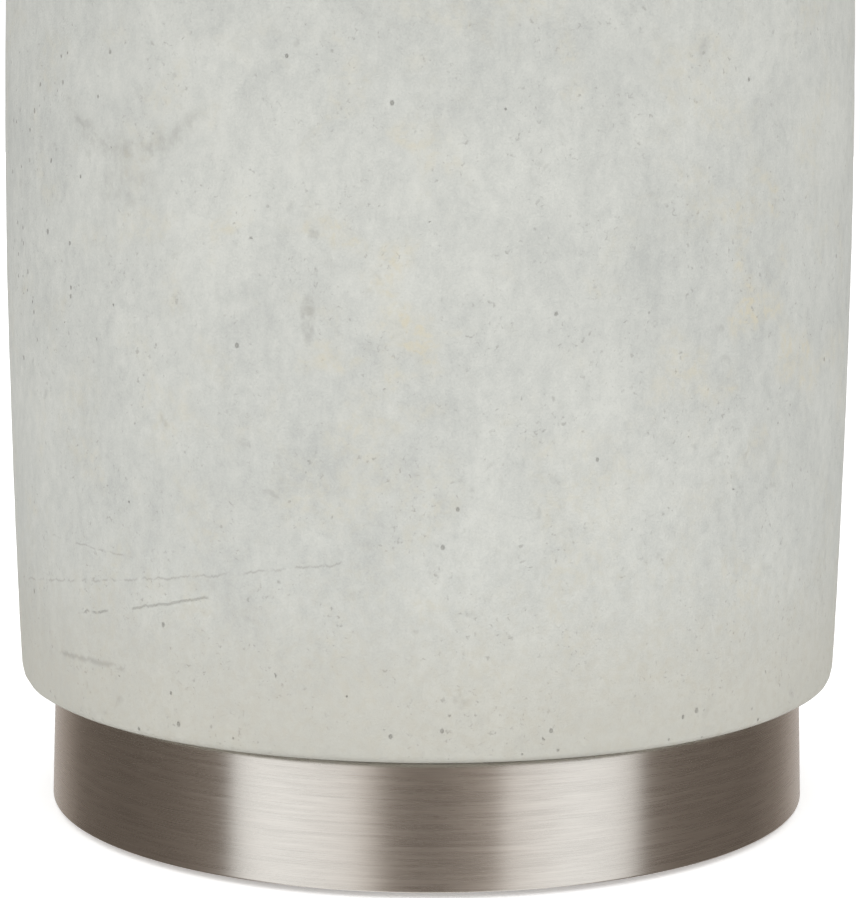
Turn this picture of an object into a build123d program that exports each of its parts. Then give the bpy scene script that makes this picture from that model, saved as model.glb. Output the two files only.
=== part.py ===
from build123d import *
from math import cos, radians, tan
import os

# A table lamp: a cast concrete body on a brushed nickel base, with a harp and a linen drum shade.
# Millimetres, +Z up. The origin is the centre of the felt face that the lamp stands on.
# The switch knob points to the front, -Y. The cord's bushing is at the back, +Y.
# The harp's two legs stand at -X and +X.

# Clearances
MOVING_GAP = 0.1            # between flat faces that part or turn on each other
FIT_GAP = 0.05              # radial play of a thread or a stem in its hole
CUT_OVERRUN = 1.0           # how far a cutter runs past the faces it opens
SAME_PLACE = 0.01           # how close an edge must be to the place that names it

# Base
FELT_RADIUS = 69.0
FELT_THICKNESS = 2.0
COVER_THICKNESS = 2.0
PAN_FOOT_RADIUS = 73.0
PAN_TOP_RADIUS = 72.2
PAN_FOOT_HEIGHT = 1.0
PAN_TOP_HEIGHT = 23.6
PAN_WALL = 1.2
PAN_EDGE = 1.0
GASKET_THICKNESS = 1.0
GASKET_OUTER_RADIUS = 66.0
GASKET_INNER_RADIUS = 40.0

# Cord bushing in the back wall of the base
CORD_HEIGHT = 11.5
CORD_BORE_RADIUS = 2.6
BUSHING_NECK_RADIUS = 4.5
BUSHING_FLANGE_RADIUS = 6.2
BUSHING_INNER_END = 66.0
BUSHING_OUTER_END = 75.0
BUSHING_FLANGE_STAND = 0.6
BUSHING_LIP = 0.7
BUSHING_LIP_DEPTH = 1.6

# Through-rod, 1/8 IP lamp pipe, and the pieces under the base plate
ROD_RADIUS = 4.9
ROD_BORE_RADIUS = 3.3
ROD_LOW = 11.0
ROD_HIGH = 290.0
ROD_HOLE_RADIUS = 5.2
WASHER_RADIUS = 14.0
WASHER_THICKNESS = 1.5
LOCK_WASHER_RADIUS = 8.6
LOCK_WASHER_THICKNESS = 1.0
LOCK_WASHER_SLIT = 1.2
NUT_ACROSS_FLATS = 14.3
NUT_THICKNESS = 5.0

# Concrete body: a barrel whose side is one long arc
BODY_LOW = PAN_TOP_HEIGHT + GASKET_THICKNESS
BODY_HEIGHT = 215.0
BODY_HIGH = BODY_LOW + BODY_HEIGHT
BODY_WIDEST_RADIUS = 80.05
BODY_WIDEST_HEIGHT = 105.0
BODY_SIDE_ARC = 2000.0
BODY_LOWER_ROUND = 5.8
BODY_UPPER_ROUND = 8.0
BODY_CAVITY_RADIUS = 66.0
BODY_SLAB = 14.0
BODY_CAVITY_ROUND = 8.0
BODY_HOLE_RADIUS = 6.0

# Neck
CAP_FOOT_RADIUS = 34.0
CAP_TOP_RADIUS = 16.0
CAP_HEIGHT = 8.0
CAP_WALL = 1.2
CAP_RIM = 1.5
CAP_BULGE = 1.8
NECK_RADIUS = 14.0
NECK_WALL = 1.5
NECK_HEIGHT = 30.0
NECK_CAP_RADIUS = 17.0
NECK_CAP_THICKNESS = 3.0
NECK_CAP_EDGE = 0.8
CAP_TOP_HEIGHT = BODY_HIGH + CAP_HEIGHT
NECK_TOP = CAP_TOP_HEIGHT + NECK_HEIGHT
SADDLE_LOW = NECK_TOP + NECK_CAP_THICKNESS
SADDLE_THICKNESS = 1.5
SADDLE_TOP = SADDLE_LOW + SADDLE_THICKNESS

# Harp: a bent wire held in the saddle by two sleeves
HARP_WIRE_RADIUS = 1.8
HARP_FOOT = SADDLE_TOP + MOVING_GAP
HARP_TOP = 499.0
HARP_LEG_X = 30.65
HARP_SIDE_X = 56.0
HARP_LEG_BEND = 318.0
HARP_SIDE_BEND = 358.0
HARP_LOWER_ROUND = 20.0
HARP_UPPER_ROUND = 45.0
SEAT_BARREL_RADIUS = 5.0
SEAT_BARREL_LOW = 496.2
SEAT_FLANGE_RADIUS = 10.0
SEAT_FLANGE_LOW = 502.5
SEAT_TOP = 504.5
TONGUE_THICKNESS = 1.5
TONGUE_HALF_WIDTH = 1.8
TONGUE_TOP = SADDLE_TOP + 10.4
TONGUE_X = HARP_LEG_X - HARP_WIRE_RADIUS - MOVING_GAP - TONGUE_THICKNESS / 2
SADDLE_HALF_LENGTH = 34.5
SADDLE_WIDTH = 12.0
SLEEVE_X = 29.85
SLEEVE_INNER_RADIUS = 3.35
SLEEVE_OUTER_RADIUS = 4.05
SLEEVE_HEIGHT = 12.0
SLEEVE_WEB = 1.0
SLEEVE_WIRE_GAP = 0.3

# Socket, E26, with a turn switch
HUB_RADIUS = 9.0
HUB_HEIGHT = 6.0
SOCKET_CAP_RADIUS = 17.9
SOCKET_CAP_WALL = 0.8
SOCKET_CAP_SHOULDER = SADDLE_TOP + 12.0
SOCKET_CAP_TOP = SADDLE_TOP + 18.0
SOCKET_CAP_SWELL = 1.6
HUB_STEP = 1.0
SET_SCREW_RADIUS = 1.9
SET_SCREW_STAND = 1.2
SET_SCREW_HOLE_END = 12.0
SET_SCREW_SLOT_DEPTH = 0.8
SCREW_SLOT_WIDTH = 0.8
SET_SCREW_HEIGHT = SADDLE_TOP + 3.2
SHELL_RADIUS = 17.0
SHELL_WALL = 0.5
SHELL_LOW = SADDLE_TOP + 15.9
SHELL_TOP = 340.0
PAPER_RADIUS = 16.4
PAPER_WALL = 0.6
PAPER_LOW = SHELL_LOW + 1.0
PAPER_TOP = 341.0
BLOCK_RADIUS = 14.5
BLOCK_HALF_WIDTH = 12.5
BLOCK_LOW = 300.5
BLOCK_TOP = 318.0
SCREW_SHELL_RADIUS = 13.3
SCREW_SHELL_WALL = 0.4
SCREW_SHELL_TOP = 339.0
CONTACT_RADIUS = 4.0
CONTACT_THICKNESS = 1.4
TERMINAL_HEAD_RADIUS = 2.8
TERMINAL_HEAD_THICKNESS = 1.7
TERMINAL_SHANK_RADIUS = 1.5
TERMINAL_SHANK_LENGTH = 4.5
TERMINAL_SLOT_DEPTH = 0.7

# Switch stem and knob, which turn about a level axis to the front
SWITCH_HEIGHT = 309.0
STEM_RADIUS = 1.6
STEM_INNER_END = 10.0
STEM_OUTER_END = 26.0
STEM_HOLE_RADIUS = 2.2
KNOB_RADIUS = 5.5
KNOB_NEAR = 20.0
KNOB_FAR = 34.0
KNOB_FLUTES = 12
KNOB_FLUTE_RADIUS = 0.9
KNOB_EDGE = 0.8

# Shade: a slightly tapered drum on a three-armed spider
SHADE_LOW = 270.0
SHADE_HIGH = 524.0
SHADE_LOW_RADIUS = 178.0
SHADE_HIGH_RADIUS = 165.0
LINER_THICKNESS = 0.8
FABRIC_THICKNESS = 0.6
FABRIC_GAP = 0.02
TAPE_THICKNESS = 0.4
TAPE_WIDTH = 11.0
RING_WIRE_RADIUS = 1.6
RING_INSET = 2.0
SPIDER_HUB_RADIUS = 11.0
SPIDER_HUB_HOLE = 3.4
SPIDER_HUB_THICKNESS = 1.5
SPIDER_HUB_LOW = SEAT_TOP + MOVING_GAP
SPIDER_HUB_TOP = SPIDER_HUB_LOW + SPIDER_HUB_THICKNESS
SPIDER_ARM_ANGLES = (90, 210, 330)
SPIDER_DROP_INNER = 118.0
SPIDER_DROP_OUTER = 148.0
SPIDER_ROUND = 14.0
SPIDER_HUB_WELD = 0.3
SPIDER_RING_WELD = 0.6

# Finial on the harp's stud, 1/4-27 thread
FINIAL_PITCH = 25.4 / 27
FINIAL_TURNS = 9
STUD_RADIUS = 3.1
STUD_EDGE = 0.5
FINIAL_WASHER_RADIUS = 8.0
FINIAL_WASHER_THICKNESS = 1.0
FINIAL_WASHER_HOLE = 3.4
FINIAL_WASHER_LOW = SPIDER_HUB_TOP + MOVING_GAP
FINIAL_LOW = FINIAL_WASHER_LOW + FINIAL_WASHER_THICKNESS + MOVING_GAP
STUD_TOP = FINIAL_LOW + FINIAL_TURNS * FINIAL_PITCH
FINIAL_FOOT_RADIUS = 7.5
FINIAL_FOOT_HEIGHT = 2.0
FINIAL_NECK_RADIUS = 5.2
FINIAL_NECK_HEIGHT = 3.0
FINIAL_HEAD_RADIUS = 9.0
FINIAL_HEAD_HEIGHT = 18.0
FINIAL_HEAD_ROUND = 2.0
FINIAL_BORE_DEPTH = 10.5

# Bulb, A19 on an E26 cap
BULB_TIP_GAP = 0.2
BULB_TIP_LOW = BLOCK_TOP + CONTACT_THICKNESS + BULB_TIP_GAP
BULB_TIP_RADIUS = 4.5
BULB_TIP_HEIGHT = 1.4
BULB_TIP_RIM = 0.5
BULB_TIP_TO_CAP = 4.9
BULB_INSULATOR_RADIUS = 10.8
BULB_CAP_LOW = BULB_TIP_LOW + BULB_TIP_TO_CAP
BULB_CAP_RADIUS = 12.9
BULB_CAP_WALL = 0.4
BULB_CAP_BEVEL = 2.0
BULB_CAP_TOP = 341.5
HOUSING_FOOT_RADIUS = 13.4
HOUSING_FOOT_HEIGHT = 4.0
HOUSING_TOP = 385.0
HOUSING_TOP_RADIUS = 28.6
HOUSING_WALL = 1.8
HOUSING_SWELL = 1.5
GLOBE_RADIUS = 30.0
GLOBE_CENTRE = 397.0
GLOBE_WALL = 1.2


def disc(radius, low, high):
    """A round solid on the lamp's axis between two heights."""
    return Pos(0, 0, low) * Cylinder(radius, high - low, align=(Align.CENTER, Align.CENTER, Align.MIN))


def tube(outer, inner, low, high):
    """A round sleeve or washer on the lamp's axis."""
    return disc(outer, low, high) - disc(inner, low - CUT_OVERRUN, high + CUT_OVERRUN)


def rod_along(direction, radius, near, far, height):
    """A round bar that leaves the lamp's axis level, at a height, between two distances."""
    start = Plane(origin=(0, 0, height), z_dir=direction).offset(near)
    return extrude(start * Circle(radius), far - near)


def turned(*outline):
    """A solid turned about the lamp's axis from a closed outline of edges in radius and height."""
    return revolve(Plane.XZ * make_face(Curve() + list(outline)), Axis.Z)


def round_edges(solid, size, radius, height):
    """Rounds the circular edge that has this radius and height."""
    chosen = [
        edge
        for edge in solid.edges().filter_by(GeomType.CIRCLE)
        if abs(edge.radius - radius) < SAME_PLACE and abs(edge.arc_center.Z - height) < SAME_PLACE
    ]
    return fillet(chosen, size)


def bent_path(points, radii):
    """Straight runs between the points, joined at each inner point by a tangent arc."""
    corners = [Vector(*point) for point in points]
    pieces = []
    run_start = corners[0]
    for before, corner, after, radius in zip(corners, corners[1:], corners[2:], radii):
        inward = (corner - before).normalized()
        outward = (after - corner).normalized()
        half_turn = radians(inward.get_angle(outward) / 2)
        arc_start = corner - inward * (radius * tan(half_turn))
        arc_end = corner + outward * (radius * tan(half_turn))
        middle = corner + (outward - inward).normalized() * (radius / cos(half_turn) - radius)
        pieces.append(Line(run_start, arc_start))
        pieces.append(ThreePointArc(arc_start, middle, arc_end))
        run_start = arc_end
    pieces.append(Line(run_start, corners[-1]))
    return Wire([piece.edge() for piece in pieces])


def round_wire(path, radius):
    """A round wire along a path."""
    start = Plane(origin=path @ 0, z_dir=path % 0)
    return sweep(start * Circle(radius), path=path)


# Base


def felt_pad():
    return disc(FELT_RADIUS, 0, FELT_THICKNESS)


def pan_radius(height):
    """The outer radius of the base pan's slightly tapered side at a height."""
    share = (height - PAN_FOOT_HEIGHT) / (PAN_TOP_HEIGHT - PAN_FOOT_HEIGHT)
    return PAN_FOOT_RADIUS + share * (PAN_TOP_RADIUS - PAN_FOOT_RADIUS)


def base_cover():
    """Fibreboard that closes the pan from below and carries the felt."""
    top = FELT_THICKNESS + COVER_THICKNESS
    return disc(pan_radius(top) - PAN_WALL - MOVING_GAP, FELT_THICKNESS, top)


def base_pan():
    """A drawn nickel-plated cup, open below, with a hole for the rod and one for the bushing."""
    plate_low = PAN_TOP_HEIGHT - PAN_WALL
    side = Polyline(
        (PAN_FOOT_RADIUS, PAN_FOOT_HEIGHT),
        (PAN_TOP_RADIUS, PAN_TOP_HEIGHT),
        (ROD_HOLE_RADIUS, PAN_TOP_HEIGHT),
        (ROD_HOLE_RADIUS, plate_low),
        (pan_radius(plate_low) - PAN_WALL, plate_low),
        (PAN_FOOT_RADIUS - PAN_WALL, PAN_FOOT_HEIGHT),
        close=True,
    )
    pan = turned(side)
    pan = round_edges(pan, PAN_EDGE, PAN_TOP_RADIUS, PAN_TOP_HEIGHT)
    hole_end = BUSHING_OUTER_END + CUT_OVERRUN
    bushing_hole = rod_along((0, 1, 0), BUSHING_NECK_RADIUS, BUSHING_INNER_END, hole_end, CORD_HEIGHT)
    return pan - bushing_hole


def cord_bushing(pan):
    """A snap-in plastic bushing: a flange outside, a neck in the hole and a lip inside."""
    back = (0, 1, 0)
    wall_inside = pan_radius(CORD_HEIGHT) - PAN_WALL
    bushing = rod_along(back, BUSHING_NECK_RADIUS, BUSHING_INNER_END, BUSHING_OUTER_END, CORD_HEIGHT)
    flange_start = wall_inside + BUSHING_FLANGE_STAND
    bushing += rod_along(back, BUSHING_FLANGE_RADIUS, flange_start, BUSHING_OUTER_END, CORD_HEIGHT)
    lip_radius = BUSHING_NECK_RADIUS + BUSHING_LIP
    bushing += rod_along(back, lip_radius, wall_inside - BUSHING_LIP_DEPTH, wall_inside, CORD_HEIGHT)
    bore_start = BUSHING_INNER_END - CUT_OVERRUN
    bore_end = BUSHING_OUTER_END + CUT_OVERRUN
    bore = rod_along(back, CORD_BORE_RADIUS, bore_start, bore_end, CORD_HEIGHT)
    return bushing - pan - bore


def gasket():
    """A thin dark rubber ring that shows as a seam between the base and the concrete."""
    return tube(GASKET_OUTER_RADIUS, GASKET_INNER_RADIUS, PAN_TOP_HEIGHT, BODY_LOW)


# Through-rod and its fasteners


def threaded_rod():
    return tube(ROD_RADIUS, ROD_BORE_RADIUS, ROD_LOW, ROD_HIGH)


def bottom_washer():
    top = PAN_TOP_HEIGHT - PAN_WALL
    return tube(WASHER_RADIUS, ROD_HOLE_RADIUS, top - WASHER_THICKNESS, top)


def lock_washer():
    """A split ring between the flat washer and the nut."""
    top = PAN_TOP_HEIGHT - PAN_WALL - WASHER_THICKNESS
    middle = top - LOCK_WASHER_THICKNESS / 2
    ring = tube(LOCK_WASHER_RADIUS, ROD_HOLE_RADIUS, top - LOCK_WASHER_THICKNESS, top)
    slit = Box(2 * LOCK_WASHER_RADIUS, LOCK_WASHER_SLIT, 2 * LOCK_WASHER_THICKNESS)
    slit = Pos(LOCK_WASHER_RADIUS, 0, middle) * slit
    return ring - slit


def bottom_nut():
    top = PAN_TOP_HEIGHT - PAN_WALL - WASHER_THICKNESS - LOCK_WASHER_THICKNESS
    low = top - NUT_THICKNESS
    hexagon = RegularPolygon(NUT_ACROSS_FLATS / 2, 6, major_radius=False)
    bore = disc(ROD_RADIUS + FIT_GAP, low - CUT_OVERRUN, top + CUT_OVERRUN)
    return extrude(Pos(0, 0, low) * hexagon, NUT_THICKNESS) - bore


# Concrete body


def body_radius(height):
    """The outer radius of the barrel-shaped side at a height."""
    rise = height - BODY_WIDEST_HEIGHT
    return BODY_WIDEST_RADIUS - rise * rise / (2 * BODY_SIDE_ARC)


def concrete_body():
    """A cast barrel, hollow, with a slab at each end for the rod to clamp."""
    foot = (body_radius(BODY_LOW), BODY_LOW)
    shoulder = (body_radius(BODY_HIGH), BODY_HIGH)
    side = ThreePointArc(foot, (BODY_WIDEST_RADIUS, BODY_WIDEST_HEIGHT), shoulder)
    ends = Polyline(shoulder, (0, BODY_HIGH), (0, BODY_LOW), foot)
    body = turned(side, ends)
    body = round_edges(body, BODY_LOWER_ROUND, foot[0], BODY_LOW)
    body = round_edges(body, BODY_UPPER_ROUND, shoulder[0], BODY_HIGH)
    cavity_low = BODY_LOW + BODY_SLAB
    cavity_high = BODY_HIGH - BODY_SLAB
    cavity = disc(BODY_CAVITY_RADIUS, cavity_low, cavity_high)
    cavity = fillet(cavity.edges().filter_by(GeomType.CIRCLE), BODY_CAVITY_ROUND)
    rod_holes = disc(BODY_HOLE_RADIUS, BODY_LOW - CUT_OVERRUN, BODY_HIGH + CUT_OVERRUN)
    return body - cavity - rod_holes


# Neck


def body_cap():
    """A spun metal cap on the concrete, flared like a trumpet from the neck to its rim."""
    rim_top = BODY_HIGH + CAP_RIM
    under = CAP_TOP_HEIGHT - CAP_WALL
    outside = SagittaArc((CAP_FOOT_RADIUS, rim_top), (CAP_TOP_RADIUS, CAP_TOP_HEIGHT), CAP_BULGE)
    inside_foot = (CAP_FOOT_RADIUS - CAP_WALL, BODY_HIGH + CAP_RIM - CAP_WALL / 2)
    inside_top = (CAP_TOP_RADIUS - CAP_WALL / 2, under)
    inside = SagittaArc(inside_foot, inside_top, CAP_BULGE)
    top = Polyline(
        (CAP_TOP_RADIUS, CAP_TOP_HEIGHT),
        (ROD_HOLE_RADIUS, CAP_TOP_HEIGHT),
        (ROD_HOLE_RADIUS, under),
        inside_top,
    )
    rim = Polyline(
        inside_foot,
        (CAP_FOOT_RADIUS - CAP_WALL, BODY_HIGH),
        (CAP_FOOT_RADIUS, BODY_HIGH),
        (CAP_FOOT_RADIUS, rim_top),
    )
    return turned(outside, top, inside, rim)


def neck_tube():
    return tube(NECK_RADIUS, NECK_RADIUS - NECK_WALL, CAP_TOP_HEIGHT, NECK_TOP)


def neck_cap():
    cap = tube(NECK_CAP_RADIUS, ROD_HOLE_RADIUS, NECK_TOP, SADDLE_LOW)
    cap = round_edges(cap, NECK_CAP_EDGE, NECK_CAP_RADIUS, NECK_TOP)
    return round_edges(cap, NECK_CAP_EDGE, NECK_CAP_RADIUS, SADDLE_LOW)


def harp_saddle():
    """A flat strap clamped on the neck, with a tongue standing at each end for the harp."""
    length = 2 * SADDLE_HALF_LENGTH
    strap = extrude(Pos(0, 0, SADDLE_LOW) * SlotOverall(length, SADDLE_WIDTH), SADDLE_THICKNESS)
    strap -= disc(ROD_HOLE_RADIUS, SADDLE_LOW - CUT_OVERRUN, SADDLE_TOP + CUT_OVERRUN)
    tongue_height = TONGUE_TOP - SADDLE_TOP
    tongue = Box(TONGUE_THICKNESS, 2 * TONGUE_HALF_WIDTH, tongue_height)
    for side in (-1, 1):
        strap += Pos(side * TONGUE_X, 0, SADDLE_TOP + tongue_height / 2) * tongue
    return strap


# Socket


def socket_cap():
    """The socket's lower cap: a threaded hub that opens into a cup for the shell."""
    inner = SOCKET_CAP_RADIUS - SOCKET_CAP_WALL
    hub_top = SADDLE_TOP + HUB_HEIGHT
    shoulder_outside = (SOCKET_CAP_RADIUS, SOCKET_CAP_SHOULDER)
    shoulder_inside = (inner, SOCKET_CAP_SHOULDER)
    hub_inside = (HUB_RADIUS - SOCKET_CAP_WALL, hub_top)
    bore = ROD_RADIUS + FIT_GAP
    hub_outside = (HUB_RADIUS, hub_top - HUB_STEP)
    outside = SagittaArc(hub_outside, shoulder_outside, -SOCKET_CAP_SWELL)
    inside = SagittaArc(hub_inside, shoulder_inside, -SOCKET_CAP_SWELL)
    rim_outside = (SOCKET_CAP_RADIUS, SOCKET_CAP_TOP)
    rim = Polyline(shoulder_outside, rim_outside, (inner, SOCKET_CAP_TOP), shoulder_inside)
    hub = Polyline(hub_inside, (bore, hub_top), (bore, SADDLE_TOP), (HUB_RADIUS, SADDLE_TOP), hub_outside)
    cap = turned(outside, rim, inside, hub)
    return cap - rod_along((0, 1, 0), SET_SCREW_RADIUS + FIT_GAP, 0, SET_SCREW_HOLE_END, SET_SCREW_HEIGHT)


def set_screw():
    """Locks the hub on the rod from the back, and has a slot for a screwdriver."""
    tip = ROD_RADIUS + FIT_GAP
    head = HUB_RADIUS + SET_SCREW_STAND
    screw = rod_along((0, 1, 0), SET_SCREW_RADIUS, tip, head, SET_SCREW_HEIGHT)
    slot = Box(4 * SET_SCREW_RADIUS, 2 * SET_SCREW_SLOT_DEPTH, SCREW_SLOT_WIDTH)
    slot = Pos(0, head, SET_SCREW_HEIGHT) * slot
    return screw - slot - disc(tip, SADDLE_TOP, ROD_HIGH)


def stem_hole():
    """A hole to the front through the socket's side for the switch stem."""
    return rod_along((0, -1, 0), STEM_HOLE_RADIUS, STEM_INNER_END, STEM_OUTER_END, SWITCH_HEIGHT)


def socket_shell():
    return tube(SHELL_RADIUS, SHELL_RADIUS - SHELL_WALL, SHELL_LOW, SHELL_TOP) - stem_hole()


def socket_insulator():
    """A paper sleeve between the live screw shell and the outer shell."""
    return tube(PAPER_RADIUS, PAPER_RADIUS - PAPER_WALL, PAPER_LOW, PAPER_TOP) - stem_hole()


def terminal_screws():
    """Two brass screws, one on each flat side of the switch block."""
    screws = []
    for direction in ((-1, 0, 0), (1, 0, 0)):
        head_end = BLOCK_HALF_WIDTH + TERMINAL_HEAD_THICKNESS
        shank_start = BLOCK_HALF_WIDTH - TERMINAL_SHANK_LENGTH
        screw = rod_along(direction, TERMINAL_SHANK_RADIUS, shank_start, head_end, SWITCH_HEIGHT)
        screw += rod_along(direction, TERMINAL_HEAD_RADIUS, BLOCK_HALF_WIDTH, head_end, SWITCH_HEIGHT)
        slot = Box(2 * TERMINAL_SLOT_DEPTH, 4 * TERMINAL_HEAD_RADIUS, SCREW_SLOT_WIDTH)
        slot = Pos(direction[0] * head_end, 0, SWITCH_HEIGHT) * slot
        screws.append((screw - slot).solid())
    return Compound(screws)


def switch_block(screws):
    """The moulded block that holds the switch, with flat sides for the terminal screws."""
    block = disc(BLOCK_RADIUS, BLOCK_LOW, BLOCK_TOP)
    middle = (BLOCK_LOW + BLOCK_TOP) / 2
    block &= Pos(0, 0, middle) * Box(2 * BLOCK_HALF_WIDTH, 4 * BLOCK_RADIUS, BLOCK_TOP - BLOCK_LOW)
    front = (0, -1, 0)
    bore_start = STEM_INNER_END - FIT_GAP
    bore_end = BLOCK_RADIUS + CUT_OVERRUN
    block -= rod_along(front, STEM_RADIUS + FIT_GAP, bore_start, bore_end, SWITCH_HEIGHT)
    for screw in screws.solids():
        block -= screw
    return block


def screw_shell():
    """The live brass shell that the bulb screws into."""
    outer = SCREW_SHELL_RADIUS + SCREW_SHELL_WALL
    return tube(outer, SCREW_SHELL_RADIUS, BLOCK_TOP, SCREW_SHELL_TOP)


def centre_contact():
    return disc(CONTACT_RADIUS, BLOCK_TOP, BLOCK_TOP + CONTACT_THICKNESS)


# Switch


def switch_stem():
    return rod_along((0, -1, 0), STEM_RADIUS, STEM_INNER_END, STEM_OUTER_END, SWITCH_HEIGHT)


def switch_knob(stem):
    """A fluted knob pressed on the stem."""
    front = (0, -1, 0)
    knob = rod_along(front, KNOB_RADIUS, KNOB_NEAR, KNOB_FAR, SWITCH_HEIGHT)
    ends = knob.edges().filter_by(GeomType.CIRCLE)
    knob = fillet(ends, KNOB_EDGE)
    flute_start = KNOB_NEAR - CUT_OVERRUN
    flute_end = KNOB_FAR + CUT_OVERRUN
    flute = rod_along(front, KNOB_FLUTE_RADIUS, flute_start, flute_end, SWITCH_HEIGHT)
    for index in range(KNOB_FLUTES):
        spoke = Axis((0, 0, SWITCH_HEIGHT), front)
        outward = Pos(KNOB_RADIUS + KNOB_FLUTE_RADIUS / 2, 0, 0) * flute
        knob -= outward.rotate(spoke, 360 * index / KNOB_FLUTES)
    return knob - stem


# Harp


def harp_wire():
    """One wire bent up from the saddle, out round the bulb and over its top."""
    right = [
        (HARP_LEG_X, 0, HARP_FOOT),
        (HARP_LEG_X, 0, HARP_LEG_BEND),
        (HARP_SIDE_X, 0, HARP_SIDE_BEND),
        (HARP_SIDE_X, 0, HARP_TOP),
    ]
    left = [(-x, y, z) for x, y, z in reversed(right)]
    lower = HARP_LOWER_ROUND
    upper = HARP_UPPER_ROUND
    return round_wire(bent_path(right + left, (lower, lower, upper, upper, lower, lower)), HARP_WIRE_RADIUS)


def harp_seat(wire):
    """A barrel on the middle of the wire, with a flange for the shade and a stud for the finial."""
    seat = disc(SEAT_BARREL_RADIUS, SEAT_BARREL_LOW, SEAT_FLANGE_LOW)
    seat += disc(SEAT_FLANGE_RADIUS, SEAT_FLANGE_LOW, SEAT_TOP)
    seat += disc(STUD_RADIUS, SEAT_TOP, STUD_TOP)
    seat = round_edges(seat, STUD_EDGE, STUD_RADIUS, STUD_TOP)
    return seat - wire


def harp_sleeve(side):
    """A sleeve that slides down the wire over the saddle's tongue; a web at its top closes it."""
    top = HARP_FOOT + SLEEVE_HEIGHT
    pocket = disc(SLEEVE_INNER_RADIUS, HARP_FOOT - CUT_OVERRUN, top - SLEEVE_WEB)
    sleeve = disc(SLEEVE_OUTER_RADIUS, HARP_FOOT, top) - pocket
    wire_offset = side * (HARP_LEG_X - SLEEVE_X)
    wire_hole = disc(HARP_WIRE_RADIUS + SLEEVE_WIRE_GAP, HARP_FOOT, top + CUT_OVERRUN)
    return Pos(side * SLEEVE_X, 0, 0) * (sleeve - Pos(wire_offset, 0, 0) * wire_hole)


# Shade


def shade_radius(height):
    """The outer radius of the shade's liner at a height."""
    share = (height - SHADE_LOW) / (SHADE_HIGH - SHADE_LOW)
    return SHADE_LOW_RADIUS + share * (SHADE_HIGH_RADIUS - SHADE_LOW_RADIUS)


def shade_wall(inner_offset, outer_offset, low, high):
    """A conical wall that follows the liner, between two offsets from the liner's outside."""
    return turned(
        Polyline(
            (shade_radius(low) + inner_offset, low),
            (shade_radius(low) + outer_offset, low),
            (shade_radius(high) + outer_offset, high),
            (shade_radius(high) + inner_offset, high),
            close=True,
        )
    )


def shade_liner():
    return shade_wall(-LINER_THICKNESS, 0, SHADE_LOW, SHADE_HIGH)


def shade_fabric():
    return shade_wall(FABRIC_GAP, FABRIC_GAP + FABRIC_THICKNESS, SHADE_LOW, SHADE_HIGH)


def edge_tape(edge, inward):
    """A folded tape over one edge of the shade: a band outside and a web over the edge."""
    outside = FABRIC_GAP + FABRIC_THICKNESS
    band_end = edge + inward * TAPE_WIDTH
    web_end = edge - inward * TAPE_THICKNESS
    band = shade_wall(outside, outside + TAPE_THICKNESS, min(edge, band_end), max(edge, band_end))
    web = shade_wall(-LINER_THICKNESS, outside + TAPE_THICKNESS, min(edge, web_end), max(edge, web_end))
    return band + web


def ring_radius(height):
    """The centre radius of a wire ring that lies against the liner's inside at a height."""
    return shade_radius(height) - LINER_THICKNESS - RING_WIRE_RADIUS - MOVING_GAP


def shade_ring(height):
    return Pos(0, 0, height) * Torus(ring_radius(height), RING_WIRE_RADIUS)


def spider_hub():
    return tube(SPIDER_HUB_RADIUS, SPIDER_HUB_HOLE, SPIDER_HUB_LOW, SPIDER_HUB_TOP)


def spider_arms(hub, ring):
    """Three wires from the hub, level and then up to the top ring."""
    hub_height = (SPIDER_HUB_LOW + SPIDER_HUB_TOP) / 2
    ring_height = SHADE_HIGH - RING_INSET
    path = bent_path(
        [
            (SPIDER_HUB_RADIUS - SPIDER_HUB_WELD, 0, hub_height),
            (SPIDER_DROP_INNER, 0, hub_height),
            (SPIDER_DROP_OUTER, 0, ring_height),
            (ring_radius(ring_height) - SPIDER_RING_WELD, 0, ring_height),
        ],
        (SPIDER_ROUND, SPIDER_ROUND),
    )
    arm = (round_wire(path, RING_WIRE_RADIUS) - hub - ring).solid()
    return Compound([arm.rotate(Axis.Z, angle) for angle in SPIDER_ARM_ANGLES])


# Finial


def finial_washer():
    top = FINIAL_WASHER_LOW + FINIAL_WASHER_THICKNESS
    return tube(FINIAL_WASHER_RADIUS, FINIAL_WASHER_HOLE, FINIAL_WASHER_LOW, top)


def finial():
    """A turned metal knob with a blind threaded bore."""
    neck_low = FINIAL_LOW + FINIAL_FOOT_HEIGHT
    head_low = neck_low + FINIAL_NECK_HEIGHT
    head_top = head_low + FINIAL_HEAD_HEIGHT
    knob = disc(FINIAL_FOOT_RADIUS, FINIAL_LOW, neck_low)
    knob += disc(FINIAL_NECK_RADIUS, neck_low, head_low)
    knob += disc(FINIAL_HEAD_RADIUS, head_low, head_top)
    knob = round_edges(knob, FINIAL_HEAD_ROUND, FINIAL_HEAD_RADIUS, head_top)
    knob = round_edges(knob, FINIAL_HEAD_ROUND, FINIAL_HEAD_RADIUS, head_low)
    return knob - disc(STUD_RADIUS + FIT_GAP, FINIAL_LOW - CUT_OVERRUN, FINIAL_LOW + FINIAL_BORE_DEPTH)


# Bulb


def bulb_tip_contact():
    return disc(BULB_TIP_RADIUS, BULB_TIP_LOW, BULB_TIP_LOW + BULB_TIP_HEIGHT)


def bulb_cap_insulator():
    """The dark cone between the tip contact and the screw cap."""
    tip_top = BULB_TIP_LOW + BULB_TIP_HEIGHT
    return turned(
        Polyline(
            (0, tip_top),
            (BULB_TIP_RADIUS + BULB_TIP_RIM, tip_top),
            (BULB_INSULATOR_RADIUS, BULB_CAP_LOW),
            (0, BULB_CAP_LOW),
            close=True,
        )
    )


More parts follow.
